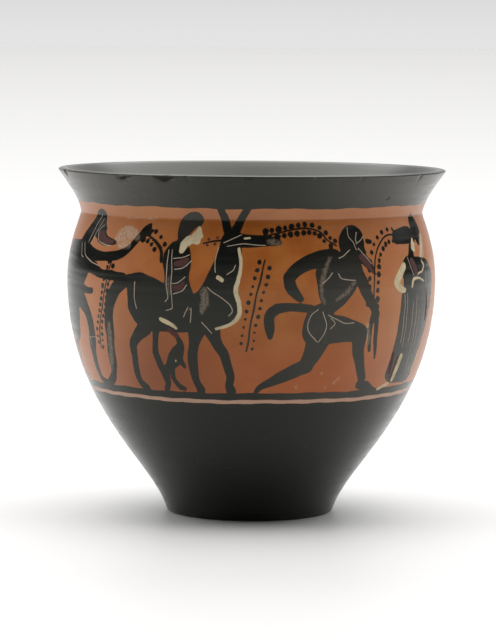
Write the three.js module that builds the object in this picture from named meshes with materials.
// A mastos cup: a wheel-thrown drinking cup of fired clay with no handles.
// A small flat foot carries a deep rounded belly, a crisp neck and a flaring lip.
// The cup is one piece of clay, hollow and open at the top.
// Millimetres, +Z up. The origin is the middle of the underside, on the surface it stands on.
import * as THREE from 'three';

// Driving dimensions of the outside, as radius and height
const FOOT_RADIUS = 22.4;
const BELLY_RADIUS = 49.6;
const BELLY_HEIGHT = 63;
const NECK_RADIUS = 45.8;
const NECK_HEIGHT = 81;
const RIM_RADIUS = 52;
const RIM_HEIGHT = 92.7;

// How the wall leans out from the vertical where its stretches meet, in degrees
const FOOT_LEAN = 16.2;
const SHOULDER_LEAN = -15.9;
const FLARE_LEAN = 16;
const LIP_LEAN = 35.5;

// How far each stretch keeps to its direction at its ends
const FOOT_REACH = 13.2;
const BELLY_REACH_DOWN = 34.4;
const BELLY_REACH_UP = 8.5;
const SHOULDER_REACH = 3.1;
const FLARE_REACH = 3.4;
const LIP_REACH = 7.2;

// The lip's rounded edge
const LIP_EDGE_DEPTH = 1.85;
const LIP_EDGE_INSET = 0.95;
const LIP_EDGE_ROUND = 0.55;
const LIP_TOP_INSET = 1;
const LIP_WALL = 2.5;

// The underside: a resting ring round a shallow hollow
const FOOT_ROUND = 0.8;
const REST_RING_WIDTH = 5.5;
const UNDERSIDE_HOLLOW = 1.2;

// The inside
const BELLY_WALL = 3.6;
const NECK_WALL = 3.4;
const FLOOR_HEIGHT = 7;
const FLOOR_REACH = 20;
const BOWL_REACH_DOWN = 36;
const BOWL_REACH_UP = 9;
const INNER_NECK_DROP = 0.6;
const INNER_NECK_REACH = 3.2;

// How finely the round form is cut into facets
const TURN_STEPS = 72;
const NOSE_STEPS = 2;
const EDGE_STEPS = 4;
const NECK_STEPS = 6;
const WALL_STEPS = 11;

const point = (radius, height) => new THREE.Vector2(radius, height);

// The point a given way along a wall that leans out from the vertical.
function along(start, leanDegrees, distance) {
  const lean = THREE.MathUtils.degToRad(leanDegrees);
  return point(start.x + distance * Math.sin(lean), start.y + distance * Math.cos(lean));
}

// A stretch of wall that leaves one end and reaches the other along the two handles.
function bend(from, fromHandle, toHandle, to) {
  return new THREE.CubicBezierCurve(from, fromHandle, toHandle, to);
}

// A rounded corner between two ends, drawn towards its tip.
function corner(from, tip, to) {
  return new THREE.QuadraticBezierCurve(from, tip, to);
}

const lipTop = point(RIM_RADIUS - LIP_TOP_INSET, RIM_HEIGHT);
const floor = point(0, FLOOR_HEIGHT);

// The underside and the foot's rounded edge, from the axis outwards.
function undersideStretches() {
  const hollow = point(0, UNDERSIDE_HOLLOW);
  const ringInner = point(FOOT_RADIUS - REST_RING_WIDTH, 0);
  const ringOuter = point(FOOT_RADIUS - FOOT_ROUND, 0);
  const footCorner = point(FOOT_RADIUS, 0);
  const hollowEdge = point(ringInner.x / 2, UNDERSIDE_HOLLOW);
  return [
    [corner(hollow, hollowEdge, ringInner), EDGE_STEPS],
    [new THREE.LineCurve(ringInner, ringOuter), 1],
    [corner(ringOuter, footCorner, along(footCorner, FOOT_LEAN, FOOT_ROUND)), EDGE_STEPS],
  ];
}

// The outer wall from the foot over the belly and in to the neck, then out to the lip.
function outerWallStretches() {
  const footCorner = point(FOOT_RADIUS, 0);
  const foot = along(footCorner, FOOT_LEAN, FOOT_ROUND);
  const footHandle = along(footCorner, FOOT_LEAN, FOOT_REACH);
  const belly = point(BELLY_RADIUS, BELLY_HEIGHT);
  const bellyBelow = along(belly, 0, -BELLY_REACH_DOWN);
  const bellyAbove = along(belly, 0, BELLY_REACH_UP);
  const neck = point(NECK_RADIUS, NECK_HEIGHT);
  const neckBelow = along(neck, SHOULDER_LEAN, -SHOULDER_REACH);
  const neckAbove = along(neck, FLARE_LEAN, FLARE_REACH);
  const lipFoot = point(RIM_RADIUS - LIP_EDGE_INSET, RIM_HEIGHT - LIP_EDGE_DEPTH);
  const lipFootBelow = along(lipFoot, LIP_LEAN, -LIP_REACH);
  const lipFootAbove = along(lipFoot, LIP_LEAN, LIP_EDGE_ROUND);
  const lipNose = point(RIM_RADIUS, RIM_HEIGHT - LIP_EDGE_DEPTH / 2);
  const lipNoseBelow = along(lipNose, 0, -LIP_EDGE_ROUND / 2);
  const lipNoseAbove = along(lipNose, 0, LIP_EDGE_ROUND);
  const lipTopOuter = point(lipTop.x + LIP_EDGE_ROUND, lipTop.y);
  return [
    [bend(foot, footHandle, bellyBelow, belly), WALL_STEPS],
    [bend(belly, bellyAbove, neckBelow, neck), NECK_STEPS],
    [bend(neck, neckAbove, lipFootBelow, lipFoot), NECK_STEPS],
    [bend(lipFoot, lipFootAbove, lipNoseBelow, lipNose), NOSE_STEPS],
    [bend(lipNose, lipNoseAbove, lipTopOuter, lipTop), EDGE_STEPS],
  ];
}

// The inner wall, from the top of the lip down to the middle of the floor.
function innerWallStretches() {
  const lipInner = point(RIM_RADIUS - LIP_WALL, RIM_HEIGHT - LIP_EDGE_DEPTH / 3);
  const lipTopInner = point(lipInner.x + LIP_EDGE_ROUND, lipTop.y);
  const lipInnerBelow = along(lipInner, LIP_LEAN, -LIP_REACH);
  const neck = point(NECK_RADIUS - NECK_WALL, NECK_HEIGHT - INNER_NECK_DROP);
  const neckAbove = along(neck, 0, INNER_NECK_REACH);
  const neckBelow = along(neck, 0, -INNER_NECK_REACH);
  const belly = point(BELLY_RADIUS - BELLY_WALL, BELLY_HEIGHT);
  const bellyAbove = along(belly, 0, BOWL_REACH_UP);
  const bellyBelow = along(belly, 0, -BOWL_REACH_DOWN);
  const floorEdge = point(FLOOR_REACH, FLOOR_HEIGHT);
  return [
    [corner(lipTop, lipTopInner, lipInner), EDGE_STEPS],
    [bend(lipInner, lipInnerBelow, neckAbove, neck), NECK_STEPS],
    [bend(neck, neckBelow, bellyAbove, belly), NECK_STEPS],
    [bend(belly, bellyBelow, floorEdge, floor), WALL_STEPS],
  ];
}

// One closed half-section, from the axis underneath round to the axis inside.
function halfSection() {
  const stretches = [...undersideStretches(), ...outerWallStretches(), ...innerWallStretches()];
  const points = stretches.flatMap(([curve, steps]) => curve.getPoints(steps).slice(0, -1));
  points.push(floor);
  return points;
}

// Black gloss slip covers most of the cup.
const blackGloss = new THREE.MeshStandardMaterial({ color: 0x1b1c19, roughness: 0.3, metalness: 0 });

// The lathe turns about its own Y, so the cup is stood up on Z.
function makeCup() {
  const cup = new THREE.Mesh(new THREE.LatheGeometry(halfSection(), TURN_STEPS), blackGloss);
  cup.name = 'cup';
  cup.rotation.x = Math.PI / 2;
  return cup;
}

const mastosCup = new THREE.Group();
mastosCup.add(makeCup());

export default mastosCup;
